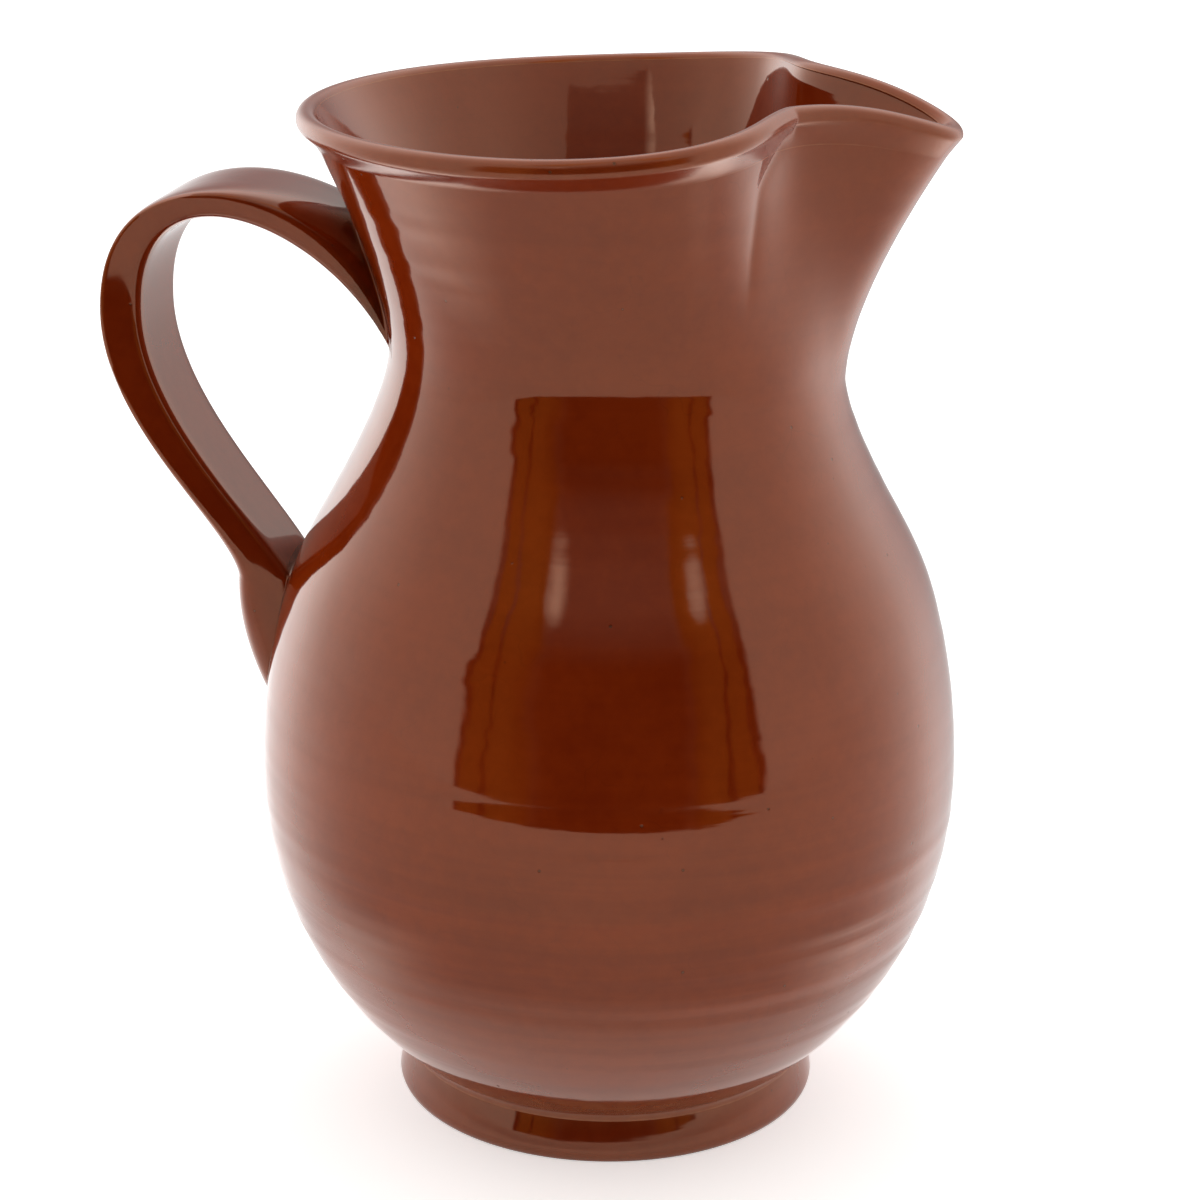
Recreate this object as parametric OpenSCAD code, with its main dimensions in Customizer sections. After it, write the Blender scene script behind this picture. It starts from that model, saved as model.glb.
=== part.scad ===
// Earthenware jug with a pulled spout and a strap handle.
// Sizes in millimetres. The foot rests on z = 0, the spout points along +X.

/* [Belly] */
// Outer radius at the widest line
belly_r = 72.5; // [66:0.5:80]
// Height of the widest line
belly_z = 72; // [66:0.5:78]
// Height of the lower curve's ellipse below the widest line
belly_drop = 77; // [73:0.5:84]
// Height of the upper curve's ellipse above the widest line
belly_rise = 100; // [88:1:120]
// Height of the seam where the neck is luted on
seam_z = 119; // [110:0.5:124]
// Wall thickness of the belly
wall = 5; // [4:0.25:7]
// Thickness of the floor
floor_t = 7; // [5:0.5:10]

/* [Foot] */
// Height of the foot ring
foot_h = 10.5; // [9:0.5:13]
// Width of the foot ring
foot_w = 8; // [6:0.5:12]
// How far the foot ring draws in under the belly
foot_waist = 2.3; // [0.5:0.1:3]
// Height of the foot ring's widest line
foot_low = 1.6; // [1:0.1:3]
// Rounding of the foot ring's edges on the table
foot_toe = 1; // [0.5:0.1:2]

/* [Neck] */
// How much narrower the throat's radius is than the belly's
throat_in = 27; // [22:0.5:30]
// How far the throat lies below the neck wall's top edge
throat_drop = 46.5; // [40:0.5:53]
// How much narrower the mouth's radius is than the belly's, at the middle of the lip
mouth_in = 11.5; // [7:0.5:16]
// Height of the neck wall's top edge, away from the spout
rim_z = 207.5; // [200:0.5:213]
// Wall thickness at the top edge
rim_wall = 2.6; // [2.2:0.1:3.4]
// Radius of the rolled lip
lip_r = 2.1; // [1.8:0.05:2.6]
// How far the lip's middle stands above the wall's top edge
lip_up = 0.3; // [0:0.05:0.8]
// How far the lip's middle lies inside the wall's outer face
lip_set = 0.5; // [0.2:0.1:1]

/* [Spout] */
// How much further the spout's tip reaches than the mouth's radius
spout_out = 6.5; // [3:0.5:12]
// How far below the neck wall's top edge the spout starts to leave the neck
spout_drop = 51.5; // [47:0.5:58]
// Angle over which the spout fades to the sides
spout_half = 12; // [9:0.5:16]
// How far the lip dips at the tip of the spout
spout_dip = 1.5; // [0:0.25:4]
// How far the spout's ridge stands out where it starts
ridge_start = 1; // [0.5:0.25:2]
// How far the mouth is pinched in beside the spout
pinch = 15; // [8:0.5:16]
// Angle from the spout's tip to the pinch
pinch_at = 36; // [32:1:42]
// Angle over which the pinch fades to the sides
pinch_half = 24; // [20:1:30]
// How far the pinch lifts the lip
pinch_lift = 5.5; // [0:0.5:9]

/* [Handle] */
// Width of the strap
strap_w = 25; // [20:0.5:30]
// Thickness of the strap where it reaches out furthest
strap_t = 8.25; // [7:0.25:11]
// How much wider the strap's outer face is than its inner face
strap_flare = 1.6; // [0:0.1:3]
// Angle by which the strap is turned out of square to the spout
strap_turn = 4; // [0:0.5:8]
// How much further the strap reaches out than the belly's radius
reach_out = 30; // [25:0.5:38]
// Height where the strap reaches out furthest
reach_z = 167; // [162:0.5:170]
// How far below the neck wall's top edge the strap springs from the neck
join_drop = 33.5; // [30:0.5:37]
// Height of the strap's upper edge at the neck above the place where it springs
root_up = 10; // [8:0.5:13]
// Depth of the strap's lower edge at the neck below the place where it springs
root_down = 15; // [12:0.5:18]
// How strongly the arch is pulled up
arch_pull = 32; // [28:0.5:36]
// Height at which the strap lands on the belly
land_z = 111; // [107:0.5:114]
// Thickness of the strap above the belly where it lands
land_t = 10.5; // [8:0.5:13]
// Height at which the pressed-on tail runs out
tail_z = 83; // [78:0.5:88]
// Thickness of the slip that lutes the pieces together
slip = 0.8; // [0.5:0.1:1.2]
// How far the slip is squeezed out round the handle's ends
slip_edge = 1.5; // [0.5:0.25:3]

/* [Hidden] */
$fn = 96;
n_turn = 96;
n_curve = 20;
n_low = 7;
n_high = 11;
n_strap = 14;
n_ring = 24;
n_lip = 10;
n_foot = 5;
clay = [0.42, 0.17, 0.06];
slip_clay = [0.55, 0.33, 0.2];

belly_floor = foot_h + slip;
floor_z = belly_floor + floor_t;
seam_low = seam_z - slip / 2;
seam_high = seam_z + slip / 2;
neck_span = rim_z - seam_high;
throat_r = belly_r - throat_in;
throat_z = rim_z - throat_drop;
mouth_r = belly_r - mouth_in;
spout_r = mouth_r + spout_out;
spout_z = rim_z - spout_drop;
reach_r = belly_r + reach_out;
join_z = rim_z - join_drop;

// Belly curve, outside and inside
function arc_r(z, r, low, high) =
    r * sqrt(1 - pow((z - belly_z) / (z < belly_z ? low : high), 2));
function belly_out(z) = arc_r(z, belly_r, belly_drop, belly_rise);
function belly_in(z) = arc_r(z, belly_r - wall, belly_drop - wall, belly_rise);
function between(a, b, u) = a + (b - a) * u;
function curve2(a, b, c, u) =
    a * pow(1 - u, 2) + b * 2 * u * (1 - u) + c * u * u;
function curve3(a, b, c, d, u) =
    a * pow(1 - u, 3) + b * 3 * u * pow(1 - u, 2) + c * 3 * u * u * (1 - u) + d * pow(u, 3);

seam_r = belly_out(seam_z);
seam_in = belly_in(seam_low);
seam_wall = seam_r - seam_in;
foot_r = belly_out(belly_floor);
foot_top = foot_r - foot_waist;
foot_inside = foot_r - foot_w;

// Round neck as points of radius and height, from the seam to the rim
low_bend = [throat_r, between(seam_high, throat_z, 0.74)];
high_bend = [throat_r, between(throat_z, rim_z, 0.32)];
round_neck = concat(
    [for (i = [0 : n_low - 1])
        curve2([seam_r, seam_high], low_bend, [throat_r, throat_z], i / n_low)],
    [for (i = [0 : n_high])
        curve2([throat_r, throat_z], high_bend, [mouth_r + lip_set, rim_z], i / n_high)]);

// Spout ridge as a radius for each height, with a soft start below it
low_a = throat_z - 2 * low_bend[1] + seam_high;
low_b = 2 * (low_bend[1] - seam_high);
spout_low_u = (sqrt(low_b * low_b + 4 * low_a * (spout_z - seam_high)) - low_b) / (2 * low_a);
ridge_foot = between(throat_r, seam_r, pow(1 - spout_low_u, 2)) + ridge_start;
ridge_bend = between(spout_z, rim_z, 0.33);
ridge_a = rim_z - 2 * ridge_bend + spout_z;
ridge_b = 2 * (ridge_bend - spout_z);
function ridge_u(z) = (sqrt(ridge_b * ridge_b + 4 * ridge_a * (z - spout_z)) - ridge_b) / (2 * ridge_a);
function ridge_r(z) = between(ridge_foot, spout_r + lip_set, pow(ridge_u(z), 2));
function bulge(p) = p[1] < spout_z
    ? ridge_start * pow((p[1] - seam_high) / (spout_z - seam_high), 4)
    : max(0, ridge_r(p[1]) - p[0]);

// Shares of spout, pinch and lift at an angle from the spout, and of all at a height
function beak(a) = exp(-pow(a / spout_half, 2));
function dent(a) = exp(-pow((abs(a) - pinch_at) / pinch_half, 2)) * (1 - beak(a));
function lift(a) =
    pinch_lift * exp(-pow((abs(a) - pinch_at) / 40, 2)) * (1 - beak(a)) - spout_dip * beak(a);
function rise(z) = max(0, (z - throat_z) / (rim_z - throat_z));
function neck_r(p, a) =
    p[0] + bulge(p) * beak(a) - pinch * dent(a) * pow(rise(p[1]), 1.4);
function neck_z(p, a) = p[1] + lift(a) * pow(rise(p[1]), 2);
function neck_wall(p) = between(seam_wall, rim_wall, (p[1] - seam_high) / neck_span);
function turned(r, a, z) = [r * cos(a), r * sin(a), z];
function signed_turn(i) = (i <= n_turn / 2 ? i : i - n_turn) * 360 / n_turn;

// Triangles of a ring of equal closed outlines
function ring_faces(n, m) = [for (i = [0 : n - 1]) for (j = [0 : m - 1])
    let (i2 = (i + 1) % n, j2 = (j + 1) % m)
    each [[i * m + j, i * m + j2, i2 * m + j2], [i * m + j, i2 * m + j2, i2 * m + j]]];

// Strap between an outer and an inner rail, each of three legs, as radius and height,
// with its half widths and the share of its thickness where its flat sides end
land_r = belly_out(land_z);
tail_r = belly_out(tail_z);
out_at = [[throat_r + wall * 0.1, join_z + root_up], [reach_r, reach_z],
    [land_r + land_t, land_z], [tail_r - wall * 0.1, tail_z]];
in_at = [[throat_r - wall * 0.9, join_z - root_down], [reach_r - strap_t, reach_z],
    [land_r - wall * 0.4, land_z], [tail_r - wall * 1.6, tail_z]];
out_leave = arch_pull * [[0.69, 0.42], [0.015, -0.75], [0.025, -0.28]];
out_meet = arch_pull * [[-0.015, 1], [0.03, 0.34], [0.17, 0.31]];
in_leave = arch_pull * [[0.44, 0.92], [0.015, -0.66], [-0.06, -0.28]];
in_meet = arch_pull * [[0, 1.03], [0.27, 0.45], [-0.03, 0.28]];
half_w = strap_w * [0.6, 0.5, 0.42, 0.34];
side_top = [-0.7, 0.7, 0.2, -0.7];
function rail(at, leave, meet, k, u) =
    curve3(at[k], at[k] + leave[k], at[k + 1] + meet[k], at[k + 1], u);
function fade(k, u) = k == 0 ? 1 - pow(1 - u, 3) : u * u * (3 - 2 * u);
function strap_ring(k, u, grow) =
    let (o = rail(out_at, out_leave, out_meet, k, u), i = rail(in_at, in_leave, in_meet, k, u),
         m = (o + i) / 2, t = norm(o - i) / 2, d = (o - i) / (2 * t),
         w = between(half_w[k], half_w[k + 1], fade(k, u)) + grow,
         s = between(side_top[k], side_top[k + 1], fade(k, u)))
    [for (j = [0 : n_ring - 1])
        let (c = cos(j * 360 / n_ring), e = sin(j * 360 / n_ring),
             n = e < 0 ? s - (1 + s) * pow(-e, 0.25) : s + (1 - s) * pow(e, 0.7),
             y = (w + strap_flare / 2 * n) * sign(c) * pow(abs(c), e < 0 ? 0.18 : 0.4),
             r = (t + grow / 2) * n)
        [y * tan(strap_turn) - m[0] - d[0] * r, y, m[1] + d[1] * r]];

module spun(points) {
    rotate_extrude() polygon(points);
}

module belly_solid(grow) {
    spun(concat(
        [[0, belly_floor]],
        [for (i = [0 : n_curve]) let (z = between(belly_floor, belly_z, i / n_curve))
            [belly_out(z) + grow, z]],
        [for (i = [1 : n_curve]) let (z = between(belly_z, seam_z, i / n_curve))
            [belly_out(z) + grow, z]],
        [[0, seam_z]]));
}

module neck_solid(grow) {
    spun(concat(
        [[0, seam_z]],
        [for (p = round_neck) [p[0] + grow, p[1]]],
        [[0, rim_z]]));
}

// Strap swept through the legs from first to last, without its trimming
module strap_sweep(first, last, grow) {
    rings = concat(
        [for (k = [first : last]) for (i = [0 : n_strap - 1]) strap_ring(k, i / n_strap, grow)],
        [strap_ring(last, 1, grow)]);
    count = len(rings);
    sides = [for (i = [0 : count - 2]) for (j = [0 : n_ring - 1])
        let (j2 = (j + 1) % n_ring)
        each [[i * n_ring + j, (i + 1) * n_ring + j2, i * n_ring + j2],
              [i * n_ring + j, (i + 1) * n_ring + j, (i + 1) * n_ring + j2]]];
    start = [[for (j = [0 : n_ring - 1]) j]];
    end = [[for (j = [n_ring - 1 : -1 : 0]) (count - 1) * n_ring + j]];
    polyhedron([for (r = rings) each r], concat(sides, start, end), convexity = 6);
}

module belly() {
    color(clay) spun(concat(
        [[0, belly_floor]],
        [for (i = [0 : n_curve]) let (z = between(belly_floor, belly_z, i / n_curve))
            [belly_out(z), z]],
        [for (i = [1 : n_curve]) let (z = between(belly_z, seam_low, i / n_curve))
            [belly_out(z), z]],
        [for (i = [0 : n_curve]) let (z = between(seam_low, belly_z, i / n_curve))
            [belly_in(z), z]],
        [for (i = [1 : n_curve]) let (z = between(belly_z, floor_z, i / n_curve))
            [belly_in(z), z]],
        [[0, floor_z]]));
}

module foot_ring() {
    color(clay) spun(concat(
        [[foot_inside, 0]],
        [for (i = [0 : n_foot]) let (a = 270 + 90 * i / n_foot)
            [foot_r - foot_toe + foot_toe * cos(a), foot_low + foot_low * sin(a)]],
        [for (i = [1 : n_foot]) let (u = i / n_foot)
            [foot_r - foot_waist * pow(u, 1.2), between(foot_low, foot_h, u)]],
        [[foot_inside - foot_toe * 1.5, foot_h], [foot_inside - foot_toe, foot_toe]]));
}

module foot_slip() {
    low_r = foot_inside - foot_toe * 1.5;
    color(slip_clay) spun([[low_r, foot_h], [foot_top, foot_h], [foot_top, belly_floor], [low_r, belly_floor]]);
}

module shoulder_slip() {
    color(slip_clay) spun([[seam_in, seam_low], [seam_r, seam_low], [seam_r, seam_high], [seam_in, seam_high]]);
}

module neck() {
    rows = len(round_neck);
    points = [for (i = [0 : n_turn - 1]) let (a = signed_turn(i))
        each concat(
            [for (p = round_neck) turned(neck_r(p, a), a, neck_z(p, a))],
            [for (k = [rows - 1 : -1 : 0]) let (p = round_neck[k])
                turned(neck_r(p, a) - neck_wall(p), a, neck_z(p, a))])];
    color(clay) polyhedron(points, ring_faces(n_turn, 2 * rows), convexity = 8);
}

module lip() {
    top = round_neck[len(round_neck) - 1];
    start = asin(lip_up / lip_r);
    points = [for (i = [0 : n_turn - 1]) let (a = signed_turn(i))
        each [for (j = [0 : n_lip]) let (b = between(-start, 180 + start, j / n_lip))
            turned(neck_r(top, a) - lip_set + lip_r * cos(b), a,
                neck_z(top, a) + lip_up + lip_r * sin(b))]];
    color(clay) polyhedron(points, ring_faces(n_turn, n_lip + 1), convexity = 8);
}

module handle_strap() {
    color(clay) difference() {
        strap_sweep(0, 2, 0);
        belly_solid(slip);
        neck_solid(slip);
    }
}

module handle_top_slip() {
    color(slip_clay) intersection() {
        difference() {
            neck_solid(slip);
            neck_solid(0);
        }
        strap_sweep(0, 0, slip_edge);
    }
}

module handle_tail_slip() {
    color(slip_clay) intersection() {
        difference() {
            belly_solid(slip);
            belly_solid(0);
        }
        strap_sweep(2, 2, slip_edge);
    }
}

belly();
foot_ring();
foot_slip();
shoulder_slip();
neck();
lip();
handle_strap();
handle_top_slip();
handle_tail_slip();
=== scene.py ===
import math

import bpy
import numpy as np
from mathutils import Matrix, Vector


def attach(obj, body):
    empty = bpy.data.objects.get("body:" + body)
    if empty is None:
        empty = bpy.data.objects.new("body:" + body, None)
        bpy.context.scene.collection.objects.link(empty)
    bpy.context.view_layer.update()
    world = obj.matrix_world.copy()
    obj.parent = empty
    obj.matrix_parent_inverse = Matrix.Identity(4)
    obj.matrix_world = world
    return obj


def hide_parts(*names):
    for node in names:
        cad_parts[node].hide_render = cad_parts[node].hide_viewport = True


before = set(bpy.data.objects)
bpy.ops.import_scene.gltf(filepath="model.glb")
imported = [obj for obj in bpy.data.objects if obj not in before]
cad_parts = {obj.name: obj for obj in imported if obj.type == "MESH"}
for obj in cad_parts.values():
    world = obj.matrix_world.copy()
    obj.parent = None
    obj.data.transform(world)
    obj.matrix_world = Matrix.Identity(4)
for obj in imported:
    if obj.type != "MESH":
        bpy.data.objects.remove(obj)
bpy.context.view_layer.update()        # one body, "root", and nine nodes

mm = 0.001
print("frame loaded:", len(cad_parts), "nodes")


# Helpers for working by hand in edit mode
def deselectAll():
    if bpy.context.mode != "OBJECT":
        bpy.ops.object.mode_set(mode="OBJECT")
    bpy.ops.object.select_all(action="DESELECT")


def pickOnly(piece):
    deselectAll()
    piece.select_set(True)
    bpy.context.view_layer.objects.active = piece


def startEdit(piece):
    pickOnly(piece)
    bpy.ops.object.mode_set(mode="EDIT")
    bpy.ops.mesh.select_mode(type="VERT")
    bpy.ops.mesh.select_all(action="SELECT")


def endEdit():
    bpy.ops.object.mode_set(mode="OBJECT")


def cleanMesh(piece, gap=0.01 * mm):
    startEdit(piece)
    bpy.ops.mesh.remove_doubles(threshold=gap)
    bpy.ops.mesh.normals_make_consistent(inside=False)
    endEdit()


def smoothShade(piece, angle):
    pickOnly(piece)
    bpy.ops.object.shade_smooth_by_angle(angle=math.radians(angle))


def newPiece(name):
    piece = bpy.context.active_object
    piece.name = name
    piece.data.name = name
    return piece


def vertexArray(piece):
    points = np.empty(len(piece.data.vertices) * 3)
    piece.data.vertices.foreach_get("co", points)
    return points.reshape(-1, 3)


def moveVertices(piece, points):
    piece.data.vertices.foreach_set("co", np.ascontiguousarray(points).ravel())
    piece.data.update()


def storeShare(piece, name, share):
    layer = piece.data.attributes.new(name, "FLOAT", "POINT")
    layer.data.foreach_set("value", np.ascontiguousarray(np.clip(share, 0, 1)))


# A profile is drawn point by point and spun round the wheel's axis
def turnProfile(name, outline, steps):
    deselectAll()
    bpy.ops.mesh.primitive_plane_add(size=mm, location=(0, 0, 0))
    piece = newPiece(name)
    startEdit(piece)
    bpy.ops.mesh.merge(type="CENTER")
    here = Vector((outline[0][0], 0, outline[0][1]))
    bpy.ops.transform.translate(value=here)
    for radius, height in outline[1:]:
        there = Vector((radius, 0, height))
        bpy.ops.mesh.extrude_vertices_move(TRANSFORM_OT_translate={"value": there - here})
        here = there
    bpy.ops.mesh.select_all(action="SELECT")
    bpy.ops.mesh.spin(steps=steps, angle=2 * math.pi, center=(0, 0, 0), axis=(0, 0, 1))
    endEdit()
    cleanMesh(piece)
    return piece


# A grid is wrapped round a row of rings and its open ends are filled
def wrapGrid(name, rings):
    rings = np.asarray(rings)
    rows, around = rings.shape[:2]
    deselectAll()
    bpy.ops.mesh.primitive_grid_add(x_subdivisions=around, y_subdivisions=rows - 1, size=mm)
    piece = newPiece(name)
    wrapped = np.concatenate([rings, rings[:, :1]], axis=1)
    moveVertices(piece, wrapped.reshape(-1, 3))
    cleanMesh(piece)
    startEdit(piece)
    bpy.ops.mesh.select_all(action="DESELECT")
    bpy.ops.mesh.select_non_manifold(extend=False)
    bpy.ops.mesh.fill_holes(sides=0)
    bpy.ops.mesh.select_all(action="SELECT")
    bpy.ops.mesh.normals_make_consistent(inside=False)
    endEdit()
    return piece


def between(a, b, share):
    return a + (b - a) * share


def smoothStep(low, high, value):
    share = np.clip((value - low) / (high - low), 0, 1)
    return share * share * (3 - 2 * share)


def rowsOf(low, high, gap):
    return np.linspace(low, high, max(2, round(abs(high - low) / gap) + 1))


def bend2(a, b, c, t):
    return a * (1 - t) ** 2 + b * 2 * t * (1 - t) + c * t * t


# Share that falls from 1 on a row of places to 0 away from them
def nearShare(points, places, reach):
    share = np.zeros(len(points))
    for place in places:
        share = np.maximum(share, np.exp(-((points - place) ** 2).sum(1) / reach ** 2))
    return share


# The uneven roundness that every piece shares, so that joints stay closed
hand = {
    "oval": 0.20 * mm, "soft": 0.05 * mm, "evenFoot": 12 * mm, "evenMiddle": 20 * mm,
    "ridge": 0.06 * mm, "neckRidge": 0.022 * mm, "spiral": 0.18 * mm,
    "ridgesGrow": (16 * mm, 30 * mm), "ridgesFade": (62 * mm, 92 * mm), "patchy": 0.35,
    "waves": ((6.3 * mm, 1.0, 0.0), (9.1 * mm, 0.7, 1.1), (4.1 * mm, 0.5, 2.3)),    # gap, share, start
}


def handWobble(points):
    x, y, z = points[:, 0], points[:, 1], points[:, 2]
    around = np.arctan2(y, x)
    radius = np.hypot(x, y)
    height = z / mm
    push = hand["oval"] * np.cos(2 * around + 0.9 + height * 0.011)
    push += hand["soft"] * np.sin(3 * around - 0.4 + height * 0.045)
    push += hand["soft"] * 0.5 * np.sin(5 * around + 1.7 - height * 0.07)
    push *= smoothStep(0, hand["evenFoot"], z) * smoothStep(0, hand["evenMiddle"], radius)
    grow = 1 + push / np.maximum(radius, mm)
    return np.stack([x * grow, y * grow, z], axis=1)


def finishByHand(piece, angle):
    moveVertices(piece, handWobble(vertexArray(piece)))
    smoothShade(piece, angle)
    return piece


# Faint spiral ridges from the fingers on the wheel, strongest on the low belly
def throwingRidges(around, height):
    turnPart = around / (2 * math.pi)
    wave = np.zeros(len(height))
    for gap, share, start in hand["waves"]:
        wave += share * np.sin(2 * math.pi * (height / gap + turnPart) + start)
    low = smoothStep(*hand["ridgesGrow"], height) * (1 - smoothStep(*hand["ridgesFade"], height))
    patchy = 1 - hand["patchy"] + hand["patchy"] * np.sin(2 * around + height * 60)
    return (hand["neckRidge"] + (hand["ridge"] - hand["neckRidge"]) * low) * wave * patchy


print("helpers ready")

# Belly, thrown on the wheel
belly = {
    "radius": 72.5 * mm, "widestAt": 72 * mm, "drop": 77 * mm, "rise": 100 * mm,
    "seam": 119 * mm, "wall": 5 * mm, "floor": 7 * mm, "under": 11.3 * mm, "blend": 8 * mm,
    "corner": 6 * mm, "dish": 1.2 * mm, "dishRadius": 40 * mm, "seamNear": 3 * mm, "seamFar": 12 * mm,
    "baseRidge": 0.12 * mm, "baseGap": 2.6 * mm, "floorGap": 5.2 * mm, "insideGap": 7.5 * mm,
    "steps": 240, "rowGap": 1.1 * mm, "innerRowGap": 2 * mm,
}
neck = {
    "throat": 45.5 * mm, "throatAt": 161 * mm, "mouth": 61 * mm, "rim": 207.5 * mm,
    "rimWall": 3.0 * mm, "lipSet": 0.5 * mm, "lowBend": 0.74, "highBend": 0.32,
    "steps": 336, "rowGap": 1.0 * mm, "innerRowGap": 1.6 * mm, "innerTop": 1.2 * mm,
    "smoothFrom": 14 * mm, "smoothTo": 6 * mm,
}
spout = {
    "reach": 67.5 * mm, "start": 156 * mm, "half": 12, "dip": 1.5 * mm, "bend": 0.33, "ridge": 1 * mm,
    "pinch": 15 * mm, "pinchAt": 36, "pinchHalf": 24, "pinchRise": 1.4, "lift": 5.5 * mm, "liftHalf": 40,
}
crease = {
    "at": 49.5, "depth": 0.7 * mm, "half": 3.4, "round": 0.45,
    "low": 174 * mm, "grow": 14 * mm, "turnAt": 196 * mm, "turn": 14, "deepest": (0.8 * mm, 2.4 * mm),
}


def ellipseRadius(z, radius, low, high):
    span = np.where(z < belly["widestAt"], low, high)
    return radius * np.sqrt(np.maximum(0, 1 - ((z - belly["widestAt"]) / span) ** 2))


def bellyOut(z):
    return ellipseRadius(z, belly["radius"], belly["drop"], belly["rise"])


def bellyIn(z):
    thin = belly["wall"]
    return ellipseRadius(z, belly["radius"] - thin, belly["drop"] - thin, belly["rise"])


seamRadius = float(bellyOut(belly["seam"]))
seamWall = seamRadius - float(bellyIn(belly["seam"]))


# Parameter of a quadratic curve that starts at low, bends at a share and ends at high
def curveShare(z, low, high, bend):
    first = 2 * bend * (high - low)
    second = (high - low) * (1 - 2 * bend)
    root = np.sqrt(np.maximum(0, first * first + 4 * second * (z - low)))
    return (root - first) / (2 * second)


def neckOut(z):
    z = np.asarray(z, dtype=float)
    throatAt = neck["throatAt"]
    below = curveShare(np.minimum(z, throatAt), belly["seam"], throatAt, neck["lowBend"])
    above = curveShare(np.maximum(z, throatAt), throatAt, neck["rim"], neck["highBend"])
    edge = neck["mouth"] + neck["lipSet"]
    low = neck["throat"] + (seamRadius - neck["throat"]) * (1 - below) ** 2
    high = neck["throat"] + (edge - neck["throat"]) * above ** 2
    return np.where(z < throatAt, low, high)


def neckThick(z):
    share = np.clip((z - belly["seam"]) / (neck["rim"] - belly["seam"]), 0, 1)
    return between(seamWall, neck["rimWall"], share)


def neckIn(z):
    return neckOut(z) - neckThick(z)


def slopeOf(curve, z):
    step = 0.05 * mm
    return (curve(z + step) - curve(z - step)) / (2 * step)


# One smooth line from belly to neck, with the shoulder's corner rounded off
def blendShoulder(z, lowCurve, highCurve):
    z = np.asarray(z, dtype=float)
    low, high = belly["seam"] - belly["blend"], belly["seam"] + belly["blend"]
    span = high - low
    t = np.clip((z - low) / span, 0, 1)
    bridge = (2 * t**3 - 3 * t**2 + 1) * lowCurve(low)
    bridge += (t**3 - 2 * t**2 + t) * slopeOf(lowCurve, low) * span
    bridge += (3 * t**2 - 2 * t**3) * highCurve(high)
    bridge += (t**3 - t**2) * slopeOf(highCurve, high) * span
    return np.where(z < low, lowCurve(z), np.where(z > high, highCurve(z), bridge))


def wallOut(z):
    return blendShoulder(z, bellyOut, neckOut)


def wallIn(z):
    return blendShoulder(z, bellyIn, neckIn)


def bellyOutline():
    under, corner = belly["under"], belly["corner"]
    floorTop = under + belly["floor"]
    outer = rowsOf(under, belly["seam"], belly["rowGap"])
    inner = rowsOf(belly["seam"], floorTop + corner, belly["innerRowGap"])
    base = np.linspace(0, belly["dishRadius"], 34)
    dish = belly["dish"] * (1 - (base / belly["dishRadius"]) ** 2)
    dish += belly["baseRidge"] * np.sin(base / belly["baseGap"] * 2 * math.pi) * smoothStep(0, 8 * mm, base)
    outline = list(zip(base, under + dish))
    outline += list(zip(wallOut(outer), outer))
    outline += list(zip(wallIn(inner), inner))
    edge = float(wallIn(floorTop + corner))
    for turn in np.linspace(0.12, 1, 9) * math.pi / 2:
        outline.append((edge - 1.6 * corner * (1 - math.cos(turn)), floorTop + corner * (1 - math.sin(turn))))
    inside = np.linspace(edge - 1.75 * corner, 0, 30)
    swirl = hand["spiral"] * np.sin(inside / belly["floorGap"] * 2 * math.pi)
    swirl *= smoothStep(0, 10 * mm, inside)
    outline += list(zip(inside, floorTop + swirl))
    return outline


def makeBelly():
    piece = turnProfile("bellyWall", bellyOutline(), belly["steps"])
    points = vertexArray(piece)
    around = np.arctan2(points[:, 1], points[:, 0])
    radius = np.hypot(points[:, 0], points[:, 1])
    height = points[:, 2]
    middle = (wallOut(height) + wallIn(height)) / 2
    outside = (radius > middle) & (height > belly["under"] + 2 * mm)
    inside = (radius < middle) & (height > belly["under"] + belly["floor"] + belly["corner"])
    push = throwingRidges(around, height) * outside
    push += hand["spiral"] * 0.5 * np.sin(2 * math.pi * height / belly["insideGap"] + around) * inside
    push *= 1 - smoothStep(belly["seam"] - belly["seamFar"], belly["seam"] - belly["seamNear"], height)
    points[:, :2] *= (1 + push / np.maximum(radius, mm))[:, None]
    moveVertices(piece, handWobble(points))
    smoothShade(piece, 40)
    return piece


bellyWall = makeBelly()
print("belly thrown:", len(bellyWall.data.vertices), "vertices")


# Neck with its pulled spout, the pinch on both sides of it and the crease in one of them
def beakShare(a):
    return np.exp(-(a / spout["half"]) ** 2)


def pinchShare(a):
    return np.exp(-((np.abs(a) - spout["pinchAt"]) / spout["pinchHalf"]) ** 2) * (1 - beakShare(a))


def rimLift(a):
    raised = np.exp(-((np.abs(a) - spout["pinchAt"]) / spout["liftHalf"]) ** 2) * (1 - beakShare(a))
    return spout["lift"] * raised - spout["dip"] * beakShare(a)


def riseShare(z):
    return np.clip((z - neck["throatAt"]) / (neck["rim"] - neck["throatAt"]), 0, 1)


ridgeFoot = float(neckOut(spout["start"])) + spout["ridge"]


def spoutBulge(z):
    share = curveShare(np.maximum(z, spout["start"]), spout["start"], neck["rim"], spout["bend"])
    ridge = between(ridgeFoot, spout["reach"] + neck["lipSet"], share ** 2)
    start = np.clip((z - belly["seam"]) / (spout["start"] - belly["seam"]), 0, 1) ** 4
    return np.where(z < spout["start"], start * spout["ridge"], np.maximum(0, ridge - neckOut(z)))


def creaseDepth(a, z):
    line = crease["at"] - crease["turn"] * smoothStep(crease["turnAt"], neck["rim"] + 2 * mm, z) ** 1.5
    away = np.sqrt((a + line) ** 2 + crease["round"] ** 2) / crease["half"]
    along = smoothStep(crease["low"], crease["low"] + crease["grow"], z)
    return crease["depth"] * np.exp(-away) * along


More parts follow.
